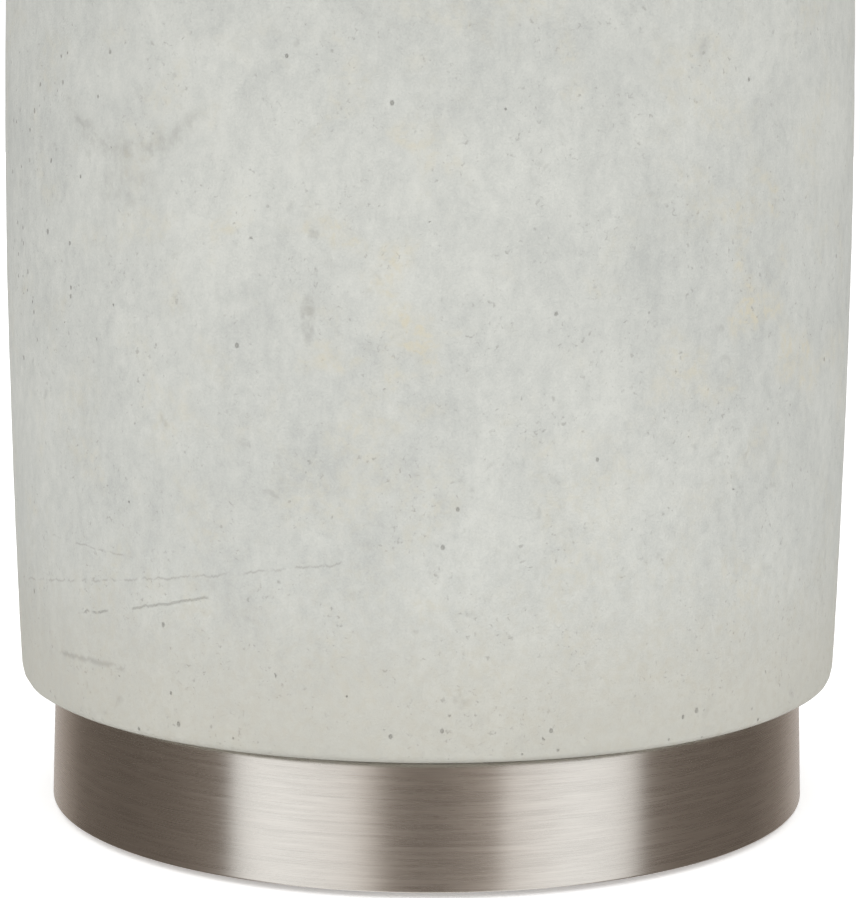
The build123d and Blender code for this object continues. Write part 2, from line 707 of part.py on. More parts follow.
def bulb_cap():
    """The screw cap: a thin cup whose side is at the thread's mean radius."""
    bevel_top = BULB_CAP_LOW + BULB_CAP_BEVEL
    inner = BULB_CAP_RADIUS - BULB_CAP_WALL
    return turned(
        Polyline(
            (0, BULB_CAP_LOW),
            (BULB_INSULATOR_RADIUS, BULB_CAP_LOW),
            (BULB_CAP_RADIUS, bevel_top),
            (BULB_CAP_RADIUS, BULB_CAP_TOP),
            (inner, BULB_CAP_TOP),
            (inner, bevel_top),
            (0, bevel_top),
            close=True,
        )
    )


def bulb_housing():
    """The white plastic body between the cap and the globe, flared like a pear."""
    floor = BULB_CAP_TOP + HOUSING_WALL
    foot_top = BULB_CAP_TOP + HOUSING_FOOT_HEIGHT
    foot = (HOUSING_FOOT_RADIUS, foot_top)
    top = (HOUSING_TOP_RADIUS, HOUSING_TOP)
    inner_foot = (HOUSING_FOOT_RADIUS - HOUSING_WALL, foot_top)
    inner_top = (HOUSING_TOP_RADIUS - HOUSING_WALL, HOUSING_TOP)
    outside = SagittaArc(foot, top, -HOUSING_SWELL)
    inside = SagittaArc(inner_foot, inner_top, -HOUSING_SWELL)
    rim = Line(top, inner_top)
    base = Polyline(
        inner_foot,
        (HOUSING_FOOT_RADIUS - HOUSING_WALL, floor),
        (0, floor),
        (0, BULB_CAP_TOP),
        (HOUSING_FOOT_RADIUS, BULB_CAP_TOP),
        foot,
    )
    return turned(outside, rim, inside, base)


def bulb_globe():
    """The frosted dome on the housing."""
    height = GLOBE_RADIUS * 2
    ball = Sphere(GLOBE_RADIUS) - Sphere(GLOBE_RADIUS - GLOBE_WALL)
    above = Pos(0, 0, HOUSING_TOP + height / 2) * Box(2 * height, 2 * height, height)
    return Pos(0, 0, GLOBE_CENTRE) * ball & above


# Everything, one file for each node

pan = base_pan()
screws = terminal_screws()
stem = switch_stem()
wire = harp_wire()
hub = spider_hub()
top_ring = shade_ring(SHADE_HIGH - RING_INSET)

nodes = {
    "felt_pad": felt_pad(),
    "base_cover": base_cover(),
    "base_pan": pan,
    "cord_bushing": cord_bushing(pan),
    "gasket": gasket(),
    "threaded_rod": threaded_rod(),
    "bottom_washer": bottom_washer(),
    "lock_washer": lock_washer(),
    "bottom_nut": bottom_nut(),
    "concrete_body": concrete_body(),
    "body_cap": body_cap(),
    "neck_tube": neck_tube(),
    "neck_cap": neck_cap(),
    "harp_saddle": harp_saddle(),
    "socket_cap": socket_cap(),
    "set_screw": set_screw(),
    "socket_shell": socket_shell(),
    "socket_insulator": socket_insulator(),
    "switch_block": switch_block(screws),
    "terminal_screws": screws,
    "screw_shell": screw_shell(),
    "centre_contact": centre_contact(),
    "switch_stem": stem,
    "switch_knob": switch_knob(stem),
    "harp_wire": wire,
    "harp_seat": harp_seat(wire),
    "harp_sleeve_left": harp_sleeve(-1),
    "harp_sleeve_right": harp_sleeve(1),
    "spider_hub": hub,
    "spider_arms": spider_arms(hub, top_ring),
    "shade_top_ring": top_ring,
    "shade_bottom_ring": shade_ring(SHADE_LOW + RING_INSET),
    "shade_liner": shade_liner(),
    "shade_fabric": shade_fabric(),
    "shade_top_tape": edge_tape(SHADE_HIGH, -1),
    "shade_bottom_tape": edge_tape(SHADE_LOW, 1),
    "finial_washer": finial_washer(),
    "finial": finial(),
    "bulb_tip_contact": bulb_tip_contact(),
    "bulb_cap_insulator": bulb_cap_insulator(),
    "bulb_cap": bulb_cap(),
    "bulb_housing": bulb_housing(),
    "bulb_globe": bulb_globe(),
}

os.makedirs("parts", exist_ok=True)
for name, shape in nodes.items():
    export_step(shape, f"parts/{name}.step")
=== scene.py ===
import functools
import math

import bmesh
import bpy
from mathutils import Matrix, Vector, noise


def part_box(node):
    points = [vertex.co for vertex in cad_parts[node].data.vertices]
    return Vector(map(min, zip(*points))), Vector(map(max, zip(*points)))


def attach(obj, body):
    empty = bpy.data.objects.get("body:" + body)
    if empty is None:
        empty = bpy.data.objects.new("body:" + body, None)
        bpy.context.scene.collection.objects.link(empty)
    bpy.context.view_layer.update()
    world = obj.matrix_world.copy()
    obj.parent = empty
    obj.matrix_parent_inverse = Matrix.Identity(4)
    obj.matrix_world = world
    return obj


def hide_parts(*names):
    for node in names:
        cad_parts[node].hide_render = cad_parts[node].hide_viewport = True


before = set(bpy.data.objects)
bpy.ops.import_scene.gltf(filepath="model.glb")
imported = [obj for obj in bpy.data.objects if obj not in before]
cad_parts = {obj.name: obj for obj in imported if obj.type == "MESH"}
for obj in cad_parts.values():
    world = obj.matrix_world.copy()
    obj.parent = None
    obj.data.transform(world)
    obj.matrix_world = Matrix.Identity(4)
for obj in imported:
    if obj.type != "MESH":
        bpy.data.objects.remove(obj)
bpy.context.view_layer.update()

MM = 0.001
FULL_TURN = 2 * math.pi

# The lamp stands on the floor at the origin. Its front, where the switch knob points, is -Y.

# ---------------------------------------------------------------- shapes


@functools.cache
def measured(node):
    """The outer radius, lowest and highest height of a CAD node that is round about the lamp's axis."""
    low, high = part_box(node)
    return (high.x - low.x) / 2, low.z, high.z


def arc_between(before, corner, after, radius, steps):
    """Points of the arc of a radius that rounds a corner, tangent to both its sides."""
    to_before = (before - corner).normalized()
    to_after = (after - corner).normalized()
    half = to_before.angle(to_after) / 2
    reach = radius / math.tan(half)
    reach = min(reach, 0.499 * (before - corner).length, 0.499 * (after - corner).length)
    radius = reach * math.tan(half)
    centre = corner + (to_before + to_after).normalized() * (radius / math.sin(half))
    start = corner + to_before * reach - centre
    end = corner + to_after * reach - centre
    turn = start.angle(end)
    points = []
    for step in range(steps + 1):
        share = step / steps
        a = math.sin((1 - share) * turn) / math.sin(turn)
        b = math.sin(share * turn) / math.sin(turn)
        points.append(centre + start * a + end * b)
    return points


def rounded(corners, steps=6):
    """A closed outline of (radius, height) points from corners of (radius, height, rounding)."""
    places = [Vector((c[0], c[1])) for c in corners]
    outline = []
    for i, place in enumerate(places):
        rounding = corners[i][2] if len(corners[i]) > 2 else 0
        if rounding:
            outline += arc_between(places[i - 1], place, places[(i + 1) % len(places)], rounding, steps)
        else:
            outline.append(place)
    return [(p.x, p.y) for p in outline]


def subdivided(start, end, count):
    """Evenly spaced (radius, height) points from start to just before end."""
    return [
        (start[0] + (end[0] - start[0]) * i / count, start[1] + (end[1] - start[1]) * i / count)
        for i in range(count)
    ]


def finished(name, mesh, body, slot, *materials):
    """Puts a mesh in the scene as a smooth piece that rides on a body and shows these materials."""
    mesh.shade_smooth()
    mesh.set_sharp_from_angle(angle=math.radians(38))
    piece = bpy.data.objects.new(name, mesh)
    bpy.context.scene.collection.objects.link(piece)
    for made in materials:
        mesh.materials.append(made)
    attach(piece, body)
    return piece


def turned_mesh(name, outline, segments=128, offset=None):
    """A closed mesh turned about the lamp's axis from a closed outline of (radius, height).

    The outline runs up its outer side. offset(angle, radius, height) gives a change of radius.
    The angle is 0 at the front and grows to the right. UV is metres round from the front and up."""
    form = bmesh.new()
    uv = form.loops.layers.uv.new("UVMap")
    reference = max(r for r, z in outline)
    angles = [-math.pi + FULL_TURN * i / segments for i in range(segments + 1)]
    columns = []
    for angle in angles[:-1]:
        column = []
        for r, z in outline:
            radius = r + (offset(angle, r, z) if offset else 0)
            column.append(form.verts.new((radius * math.sin(angle), -radius * math.cos(angle), z)))
        columns.append(column)
    for i in range(segments):
        near, far = columns[i], columns[(i + 1) % segments]
        for j in range(len(outline)):
            k = (j + 1) % len(outline)
            if outline[j][0] < 1e-7 and outline[k][0] < 1e-7:
                continue
            face = form.faces.new((near[j], far[j], far[k], near[k]))
            spots = ((angles[i], j), (angles[i + 1], j), (angles[i + 1], k), (angles[i], k))
            for loop, (angle, row) in zip(face.loops, spots):
                loop[uv].uv = (angle * reference, outline[row][1])
    bmesh.ops.remove_doubles(form, verts=form.verts, dist=1e-7)
    loose = [v for v in form.verts if not v.link_faces]
    bmesh.ops.delete(form, geom=loose, context="VERTS")
    mesh = bpy.data.meshes.new(name)
    form.to_mesh(mesh)
    form.free()
    return mesh


def turned(name, corners, body, slot, made, segments=128, offset=None, steps=6):
    """A turned piece from corners of (radius, height, rounding)."""
    mesh = turned_mesh(name, rounded(corners, steps), segments, offset)
    return finished(name, mesh, body, slot, made)


def rounded_path(corners, roundings, steps=12):
    """Points along straight runs joined by tangent arcs."""
    places = [Vector(c) for c in corners]
    path = [places[0]]
    for before, place, after, rounding in zip(places, places[1:], places[2:], roundings):
        path += arc_between(before, place, after, rounding, steps)
    path.append(places[-1])
    return path


def wire_mesh(name, path, radius, sides=20, closed=False, end_rounding=0.0):
    """A round wire along a path of points, with its ends closed and rounded, or joined in a ring."""
    form = bmesh.new()
    count = len(path)
    if end_rounding and not closed:
        first = (path[1] - path[0]).normalized()
        last = (path[-1] - path[-2]).normalized()
        near, far = path[0] + first * end_rounding, path[-1] - last * end_rounding
        path = [path[0], near, *path[1:-1], far, path[-1]]
        count = len(path)
    normal = None
    rings = []
    for i, place in enumerate(path):
        after = path[(i + 1) % count] if closed or i + 1 < count else place
        before = path[i - 1] if closed or i else place
        along = (after - before).normalized()
        if normal is None:
            normal = along.orthogonal().normalized()
        normal = (normal - along * normal.dot(along)).normalized()
        across = along.cross(normal)
        at_end = not closed and i in (0, count - 1) and end_rounding
        reach = radius - end_rounding if at_end else radius
        ring = []
        for k in range(sides):
            turn = FULL_TURN * k / sides
            outward = normal * math.cos(turn) + across * math.sin(turn)
            ring.append(form.verts.new(place + outward * reach))
        rings.append(ring)
    for i in range(count if closed else count - 1):
        a, b = rings[i], rings[(i + 1) % count]
        for k in range(sides):
            m = (k + 1) % sides
            form.faces.new((a[k], a[m], b[m], b[k]))
    if not closed:
        form.faces.new(list(reversed(rings[0])))
        form.faces.new(rings[-1])
    mesh = bpy.data.meshes.new(name)
    form.to_mesh(mesh)
    form.free()
    return mesh


# ---------------------------------------------------------------- materials


def material(name, **sockets):
    """A principled material. Each keyword is a shader socket, with _ for a space."""
    made = bpy.data.materials.new(name)
    made.use_nodes = True
    shader = made.node_tree.nodes["Principled BSDF"]
    for socket, value in sockets.items():
        if socket.endswith("Color") or socket.endswith("Tint"):
            value = (*value, 1)
        shader.inputs[socket.replace("_", " ")].default_value = value
    return made


def node(made, kind, inputs=None, **settings):
    """Adds a shader node, and gives its inputs plain values or the outputs of other nodes."""
    tree = made.node_tree
    added = tree.nodes.new("ShaderNode" + kind)
    for key, value in settings.items():
        setattr(added, key, value)
    for key, value in (inputs or {}).items():
        socket = added.inputs[key]
        if isinstance(value, bpy.types.NodeSocket):
            tree.links.new(value, socket)
        else:
            socket.default_value = value
    return added


def feed(made, socket, value):
    """Joins a node's output to one of the shader's own sockets."""
    shader = made.node_tree.nodes["Principled BSDF"]
    made.node_tree.links.new(value, shader.inputs[socket])


def math_node(made, operation, first, second=0.0, third=0.0):
    inputs = {0: first, 1: second, 2: third}
    return node(made, "Math", inputs, operation=operation).outputs[0]


def product(made, first, *others):
    for other in others:
        first = math_node(made, "MULTIPLY", first, other)
    return first


def largest(made, first, *others):
    for other in others:
        first = math_node(made, "MAXIMUM", first, other)
    return first


def scaled(made, value, factor, offset):
    return math_node(made, "MULTIPLY_ADD", value, factor, offset)


def coordinates(made, kind="Object"):
    return node(made, "TexCoord").outputs[kind]


def stretched(made, vector, scale):
    """The vector scaled along each axis."""
    return node(made, "Mapping", {"Vector": vector, "Scale": scale}).outputs[0]


def noise_of(made, vector, scale, detail=2.0, roughness=0.5, distortion=0.0):
    inputs = {"Vector": vector, "Scale": scale, "Detail": detail}
    inputs.update({"Roughness": roughness, "Distortion": distortion})
    return node(made, "TexNoise", inputs).outputs["Fac"]


def ranged(made, value, low, high, to_low=0.0, to_high=1.0, smooth=True):
    """Maps a value from one range to another, held at both ends."""
    inputs = {"Value": value, "From Min": low, "From Max": high, "To Min": to_low, "To Max": to_high}
    kind = "SMOOTHSTEP" if smooth else "LINEAR"
    return node(made, "MapRange", inputs, interpolation_type=kind, clamp=True).outputs[0]


def mixed(made, factor, first, second):
    """Mixes two colours, each a colour or an output."""
    added = node(made, "Mix", data_type="RGBA", clamp_factor=True)
    tree = made.node_tree
    for index, value in ((0, factor), (6, first), (7, second)):
        if isinstance(value, bpy.types.NodeSocket):
            tree.links.new(value, added.inputs[index])
        elif index == 0:
            added.inputs[index].default_value = value
        else:
            added.inputs[index].default_value = (*value, 1)
    return added.outputs[2]


def bumped(made, height, depth):
    """Feeds a height, in metres when multiplied by depth, to the shader's normal."""
    inputs = {"Height": height, "Distance": depth, "Strength": 1.0}
    feed(made, "Normal", node(made, "Bump", inputs).outputs[0])


# Concrete. Places are in metres round from the front (to the right) and metres up. A line is its
# start, end, half width and wander. A patch is its middle and half its size.
CONCRETE_LIGHT = (0.43, 0.434, 0.406)
CONCRETE_DARK = (0.335, 0.342, 0.325)
CONCRETE_WARM = (0.42, 0.392, 0.31)
# The colour of the painted shade along the foot, just above the ring.
CONCRETE_FOOT_SHADE = (0.366, 0.355, 0.312)
# The dark colour of the stains, and of the painted shade inside the pores.
CONCRETE_STAIN_AND_PIT_SHADE = (0.16, 0.158, 0.14)
CONCRETE_RELIEF = 0.00018
CRACK_LEFT = ((-0.071, 0.0447), (-0.0552, 0.0477), 0.0003, 0.0016)
CRACK_RIGHT = ((-0.0556, 0.0478), (-0.0393, 0.0515), 0.00034, 0.0009)
LONG_HAIRLINE = ((-0.1, 0.0462), (-0.0146, 0.059), 0.00035, 0.0013)
SHORT_HAIRLINE = ((-0.083, 0.0575), (-0.056, 0.0568), 0.0003, 0.0008)
PIT_ROW = ((-0.079, 0.0363), (-0.0585, 0.0368), 0.0009, 0.0008)
LINE_END_FADE = 0.0008
SMILE_ENDS = (-0.069, -0.042)
SMILE_END_FADE = 0.005
SMILE_MIDDLE = -0.0545
SMILE_BOTTOM = 0.1262
SMILE_BEND = 28.0
SMILE_HALF_WIDTH = 0.0034
UNDER_SMILE = ((-0.0555, 0.1205), (0.011, 0.0045))
SMUDGE = ((-0.02, 0.0995), (0.0016, 0.005))
MIDDLE_BLOOM = ((-0.012, 0.106), (0.034, 0.03))
RIGHT_BLOOM = ((0.066, 0.1), (0.028, 0.026))
PORE_CROWD_ROUND = (-0.094, -0.066, 0.016)
PORE_CROWD_UP = (0.101, 0.136, 0.012)


def between(made, value, low, high, fade):
    """1 where a value is between two others, with a soft edge outside them."""
    return product(made, ranged(made, value, low - fade, low), ranged(made, value, high + fade, high))


def line_mark(made, u, v, start, end, width, wobble):
    """1 on a thin wandering line from start to end, and 0 away from it."""
    slope = (end[1] - start[1]) / (end[0] - start[0])
    line = scaled(made, u, slope, start[1] - slope * start[0])
    wander = noise_of(made, node(made, "CombineXYZ", {"X": u}).outputs[0], 330.0, 4.0, 0.75)
    line = math_node(made, "ADD", line, scaled(made, wander, 2 * wobble, -wobble))
    distance = math_node(made, "ABSOLUTE", math_node(made, "SUBTRACT", v, line))
    inside = between(made, u, start[0], end[0], LINE_END_FADE)
    return product(made, ranged(made, distance, width, 0.0), inside)


def specks(made, place, scale, low, high):
    """Scattered soft specks: 1 at the middle of each."""
    return ranged(made, noise_of(made, place, scale, 2.0, 0.55, 0.4), low, high)


def patch(made, u, v, middle, half):
    """1 in the middle of a soft oval patch, and 0 outside it."""
    across = scaled(made, u, 1 / half[0], -middle[0] / half[0])
    up = scaled(made, v, 1 / half[1], -middle[1] / half[1])
    square = math_node(made, "ADD", product(made, across, across), product(made, up, up))
    return ranged(made, square, 1.0, 0.1)


def concrete_tone(made, place):
    """The grey ground: slow clouds, upright mottling and fine grain, all nearly the same tone."""
    clouds = noise_of(made, place, 16.0, 4.0, 0.6, 0.4)
    blotches = noise_of(made, stretched(made, place, (1, 1, 0.6)), 95.0, 4.0, 0.62, 0.5)
    mottle = noise_of(made, stretched(made, place, (1, 1, 0.7)), 520.0, 3.0, 0.6)
    grain = noise_of(made, place, 2600.0, 2.0, 0.65)
    tone = product(made, clouds, 0.55)
    for layer, weight in ((blotches, 0.6), (mottle, 0.6), (grain, 0.5)):
        tone = scaled(made, layer, weight, tone)
    dark = ranged(made, tone, 1.36, 0.86, smooth=False)
    return mixed(made, dark, CONCRETE_LIGHT, CONCRETE_DARK), mottle, grain


def concrete_bloom_and_foot_shade(made, place, u, v, colour):
    """Beige bloom in small clumps, thickest in two patches of the front, and painted shade that makes
    the foot darker and warmer towards the ring.
    """
    thick = largest(made, patch(made, u, v, *MIDDLE_BLOOM), patch(made, u, v, *RIGHT_BLOOM))
    clumps = specks(made, place, 85.0, 0.5, 0.68)
    fine = specks(made, place, 620.0, 0.44, 0.66)
    warm = product(made, clumps, scaled(made, thick, 0.55, 0.3), scaled(made, fine, 0.8, 0.2))
    colour = mixed(made, warm, colour, CONCRETE_WARM)
    # Painted shade: the lowest few centimetres grow darker and warmer towards the ring.
    foot = scaled(made, fine, 0.25, ranged(made, v, 0.06, 0.027, 0.0, 0.62))
    foot = product(made, foot, ranged(made, v, 0.075, 0.04))
    return mixed(made, foot, colour, CONCRETE_FOOT_SHADE)


def concrete_pores(made, place, u, v):
    """Small open pores: close together at the left of the front and along the foot, few elsewhere. The
    mask darkens the colour as painted shade inside the pits.
    """
    tall = stretched(made, place, (1, 1, 0.75))
    cells = node(made, "TexVoronoi", {"Vector": tall, "Scale": 820.0, "Randomness": 1.0})
    chance = node(made, "SeparateColor", {0: cells.outputs["Color"]})
    clumps = specks(made, place, 150.0, 0.46, 0.6)
    left = product(made, between(made, u, *PORE_CROWD_ROUND), between(made, v, *PORE_CROWD_UP))
    left = product(made, left, scaled(made, clumps, 0.22, 0.035))
    foot = product(made, ranged(made, v, 0.042, 0.027), scaled(made, clumps, 0.1, 0.02))
    crowd = largest(made, left, foot, scaled(made, clumps, 0.01, 0.0015))
    chosen = math_node(made, "LESS_THAN", chance.outputs[0], crowd)
    size = scaled(made, chance.outputs[1], 0.19, 0.09)
    near = math_node(made, "DIVIDE", cells.outputs["Distance"], size)
    return product(made, chosen, ranged(made, near, 1.5, 0.5))


def concrete_marks(made, place, u, v):
    """The crack and hairlines low on the left, a shallow smile of a stain above, and dark smudges."""
    broken = ranged(made, noise_of(made, place, 420.0, 2.0), 0.4, 0.56)
    left = product(made, line_mark(made, u, v, *CRACK_LEFT), broken)
    crack = largest(made, left, line_mark(made, u, v, *CRACK_RIGHT))
    thin = [line_mark(made, u, v, *line) for line in (LONG_HAIRLINE, SHORT_HAIRLINE, PIT_ROW)]
    faint = product(made, largest(made, *thin), broken, 0.33)
    across = math_node(made, "SUBTRACT", u, SMILE_MIDDLE)
    bowl = scaled(made, product(made, across, across), SMILE_BEND, SMILE_BOTTOM)
    smile = math_node(made, "ABSOLUTE", math_node(made, "SUBTRACT", v, bowl))
    inside = between(made, u, *SMILE_ENDS, SMILE_END_FADE)
    smile = product(made, ranged(made, smile, SMILE_HALF_WIDTH, 0.0), inside, 0.24)
    smudge = product(made, patch(made, u, v, *SMUDGE), 0.3)
    under = product(made, patch(made, u, v, *UNDER_SMILE), 0.14)
    ragged = scaled(made, specks(made, place, 480.0, 0.36, 0.62), 0.85, 0.3)
    return crack, faint, product(made, largest(made, smile, smudge, under), ragged)


def concrete_dust(made, place):
    """Fine dark dust, and larger and fainter smears, both in clumps."""
    dust = product(made, specks(made, place, 1150.0, 0.6, 0.76), specks(made, place, 120.0, 0.42, 0.6))
    smears = product(made, specks(made, place, 300.0, 0.6, 0.78), specks(made, place, 42.0, 0.45, 0.62))
    return largest(made, product(made, dust, 0.42), product(made, smears, 0.26))


def concrete_material():
    """Cast concrete: its tone, bloom, pores and marks, and the relief that goes with them. The pores'
    darkening is painted shade inside the pits.
    """
    made = material("cast_concrete", Roughness=0.86, Specular_IOR_Level=0.22)
    place = coordinates(made)
    flat = node(made, "SeparateXYZ", {0: coordinates(made, "UV")})
    u, v = flat.outputs[0], flat.outputs[1]
    colour, mottle, grain = concrete_tone(made, place)
    colour = concrete_bloom_and_foot_shade(made, place, u, v, colour)
    dust = concrete_dust(made, place)
    crack, faint, soft = concrete_marks(made, place, u, v)
    pores = concrete_pores(made, place, u, v)
    # The crack, hairlines, stains and dust are darker colour; the pores' share is painted shade inside
    # the pits.
    marks = largest(made, product(made, crack, 0.4), faint, soft, dust, product(made, pores, 0.6))
    feed(made, "Base Color", mixed(made, marks, colour, CONCRETE_STAIN_AND_PIT_SHADE))
    relief = scaled(made, mottle, 0.4, product(made, grain, 0.4))
    relief = math_node(made, "SUBTRACT", relief, product(made, pores, 1.2))
    relief = math_node(made, "SUBTRACT", relief, product(made, crack, 0.7))
    bumped(made, relief, CONCRETE_RELIEF)
    return made


def brushed_material(name, colour, roughness=0.28):
    """Metal brushed round the lamp's axis: long fine level scratches."""
    made = material(name, Metallic=1.0, Anisotropic=0.93)
    made.node_tree.nodes["Principled BSDF"].inputs["Anisotropic Rotation"].default_value = 0.25
    place = coordinates(made)
    fine = noise_of(made, stretched(made, place, (30, 30, 5200)), 1.0, 2.0, 0.6)
    coarse = noise_of(made, stretched(made, place, (90, 90, 1500)), 1.0, 2.0, 0.6)
    streaks = scaled(made, coarse, 0.5, product(made, fine, 0.5))
    dark = tuple(0.86 * c for c in colour)
    light = tuple(min(1.0, 1.06 * c) for c in colour)
    feed(made, "Base Color", mixed(made, ranged(made, streaks, 0.36, 0.64, smooth=False), dark, light))
    rough = ranged(made, streaks, 0.35, 0.65, roughness - 0.03, roughness + 0.03, False)
    feed(made, "Roughness", rough)
    tangent = node(made, "Tangent", direction_type="RADIAL", axis="Z")
    feed(made, "Tangent", tangent.outputs[0])
    bumped(made, coarse, 0.00002)
    return made


def satin_metal(name, colour, roughness):
    """Plated or plain metal with a faint random haze and fine marks."""
    made = material(name, Metallic=1.0)
    place = coordinates(made)
    haze = noise_of(made, place, 160.0, 4.0, 0.6)
    marks = noise_of(made, place, 1800.0, 2.0, 0.6)
    dark = tuple(0.88 * c for c in colour)
    feed(made, "Base Color", mixed(made, haze, dark, colour))
    feed(made, "Roughness", ranged(made, haze, 0.3, 0.7, roughness - 0.05, roughness + 0.06, False))
    bumped(made, marks, 0.00001)
    return made


def moulded(name, colour, roughness, texture=1400.0, depth=0.00003, **sockets):
    """Moulded plastic, rubber or enamel with a fine skin texture and slight unevenness."""
    made = material(name, **sockets)
    place = coordinates(made)
    skin = noise_of(made, place, texture, 2.0, 0.5)
    cloud = noise_of(made, place, 60.0, 3.0, 0.5)
    dark = tuple(0.86 * c for c in colour)
    feed(made, "Base Color", mixed(made, cloud, dark, colour))
    feed(made, "Roughness", ranged(made, cloud, 0.3, 0.7, roughness - 0.04, roughness + 0.05, False))
    bumped(made, skin, depth)
    return made


def fibrous(name, dark, light, scale, depth):
    """Felt, fish paper or fibreboard: matted short fibres."""
    sheen = {"Sheen_Weight": 0.25, "Sheen_Roughness": 0.6}
    made = material(name, Roughness=0.95, Specular_IOR_Level=0.15, **sheen)
    place = coordinates(made)
    fibres = noise_of(made, place, scale, 4.0, 0.75, 1.6)
    cloud = noise_of(made, place, scale / 14, 3.0, 0.5)
    tone = scaled(made, cloud, 0.4, product(made, fibres, 0.6))
    feed(made, "Base Color", mixed(made, tone, dark, light))
    bumped(made, fibres, depth)
    return made


def woven_material(name, dark, light, thread=0.00062):
    """Plain-woven linen: threads round and up, uneven in width, with slubs."""
    sheen = {"Sheen_Weight": 0.3, "Sheen_Roughness": 0.5}
    made = material(name, Roughness=0.9, Specular_IOR_Level=0.2, **sheen)
    cloth = coordinates(made, "UV")
    drift = noise_of(made, stretched(made, cloth, (220, 220, 1)), 1.0, 2.0)
    flat = node(made, "SeparateXYZ", {0: cloth})
    wander = product(made, drift, thread * 1.2)
    across = math_node(made, "ADD", flat.outputs[0], wander)
    along = math_node(made, "ADD", flat.outputs[1], wander)
    turns = FULL_TURN / (2 * thread)
    weft = math_node(made, "SINE", product(made, along, turns))
    warp = math_node(made, "SINE", product(made, across, turns))
    over = product(made, weft, warp)
    slub_level = noise_of(made, stretched(made, cloth, (45, 1500, 1)), 1.0, 2.0, 0.6)
    slub_upright = noise_of(made, stretched(made, cloth, (1500, 45, 1)), 1.0, 2.0, 0.6)
    slubs = largest(made, slub_level, slub_upright)
    tone = scaled(made, over, 0.13, ranged(made, slubs, 0.45, 0.75, 0.25, 0.95))
    feed(made, "Base Color", mixed(made, tone, dark, light))
    bumped(made, scaled(made, over, 0.5, slubs), 0.00016)
    return made


NICKEL = (0.69, 0.655, 0.605)

concrete = concrete_material()
brushed_nickel = brushed_material("brushed_nickel", NICKEL)
nickel = satin_metal("satin_nickel", (0.68, 0.65, 0.6), 0.24)
zinc = satin_metal("zinc_plate", (0.62, 0.63, 0.64), 0.34)
brass = satin_metal("brass", (0.75, 0.55, 0.25), 0.3)
cap_metal = satin_metal("rolled_aluminium", (0.78, 0.78, 0.78), 0.28)
felt = fibrous("black_felt", (0.012, 0.012, 0.012), (0.045, 0.045, 0.043), 900.0, 0.0004)
fibreboard = fibrous("fibreboard", (0.2, 0.14, 0.09), (0.38, 0.28, 0.18), 500.0, 0.0001)
fish_paper = fibrous("fish_paper", (0.25, 0.19, 0.13), (0.42, 0.34, 0.24), 700.0, 0.00005)
rubber = moulded("black_rubber", (0.03, 0.028, 0.025), 0.8, 900.0, 0.00004)
black_plastic = moulded("black_plastic", (0.035, 0.035, 0.035), 0.42)
black_glass = moulded("black_glass", (0.02, 0.02, 0.024), 0.12, 300.0, 0.000004)
white_enamel = moulded("white_powder_coat", (0.8, 0.8, 0.78), 0.45, 900.0, 0.00006)
white_plastic = moulded("white_plastic", (0.83, 0.83, 0.82), 0.38)
styrene = moulded("styrene_liner", (0.83, 0.83, 0.8), 0.5, 200.0, 0.00002, Subsurface_Weight=0.2)
frosted = moulded("frosted_diffuser", (0.87, 0.87, 0.84), 0.5, 1800.0, 0.00002, Subsurface_Weight=0.4)
linen = woven_material("linen", (0.432, 0.394, 0.324), (0.615, 0.578, 0.502))
linen_tape = woven_material("linen_tape", (0.41, 0.373, 0.302), (0.594, 0.556, 0.481), thread=0.0005)


def repaint(names, made):
    """Gives CAD nodes that keep their own shape a finished material."""
    for name in names:
        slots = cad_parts[name].data.materials
        slots.clear()
        slots.append(made)


repaint(("gasket",), rubber)
repaint(("base_cover",), fibreboard)
repaint(("threaded_rod", "bottom_washer", "lock_washer", "bottom_nut"), zinc)
repaint(("set_screw", "switch_stem"), zinc)
repaint(("harp_saddle", "harp_sleeve_left", "harp_sleeve_right", "socket_cap", "socket_shell"), nickel)
repaint(("harp_seat", "finial_washer"), nickel)
repaint(("socket_insulator",), fish_paper)
repaint(("switch_block", "switch_knob", "cord_bushing"), black_plastic)
repaint(("terminal_screws", "centre_contact"), brass)
repaint(("bulb_tip_contact",), cap_metal)
repaint(("bulb_cap_insulator",), black_glass)
repaint(("bulb_housing",), white_plastic)
repaint(("bulb_globe",), frosted)
repaint(("spider_hub", "spider_arms"), white_enamel)

# ---------------------------------------------------------------- base


def felt_pad():
    radius, low, high = measured("felt_pad")
    corners = [(0, low), (radius, low, 0.7 * MM), (radius, high, 0.7 * MM), (0, high)]

    def ragged(angle, r, z):
        if r < radius * 0.98:
            return 0
        return 0.15 * MM * noise.noise(Vector((60 * math.cos(angle), 60 * math.sin(angle), z / MM)))

    piece = turned("felt_pad_cut", corners, "lamp", "felt", felt, 256, ragged)
    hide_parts("felt_pad")


def cut_bushing_hole(piece, radius):
    """Opens the pan's back wall for the cord's bushing."""
    low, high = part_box("cord_bushing")
    neck = 4.5 * MM
    middle = Vector((0, radius, (low.z + high.z) / 2))
    form = bmesh.new()
    upright = Matrix.Translation(middle) @ Matrix.Rotation(math.pi / 2, 4, "X")
    size = {"segments": 64, "radius1": neck, "radius2": neck, "depth": 16 * MM}
    bmesh.ops.create_cone(form, cap_ends=True, matrix=upright, **size)
    mesh = bpy.data.meshes.new("bushing_hole")
    form.to_mesh(mesh)
    form.free()
    cutter = bpy.data.objects.new("bushing_hole", mesh)
    bpy.context.scene.collection.objects.link(cutter)
    cut = piece.modifiers.new("bushing_hole", "BOOLEAN")
    cut.operation = "DIFFERENCE"
    cut.solver = "EXACT"
    cut.object = cutter
    depsgraph = bpy.context.evaluated_depsgraph_get()
    opened = bpy.data.meshes.new_from_object(piece.evaluated_get(depsgraph))
    piece.modifiers.clear()
    piece.data = opened
    bpy.data.objects.remove(cutter)


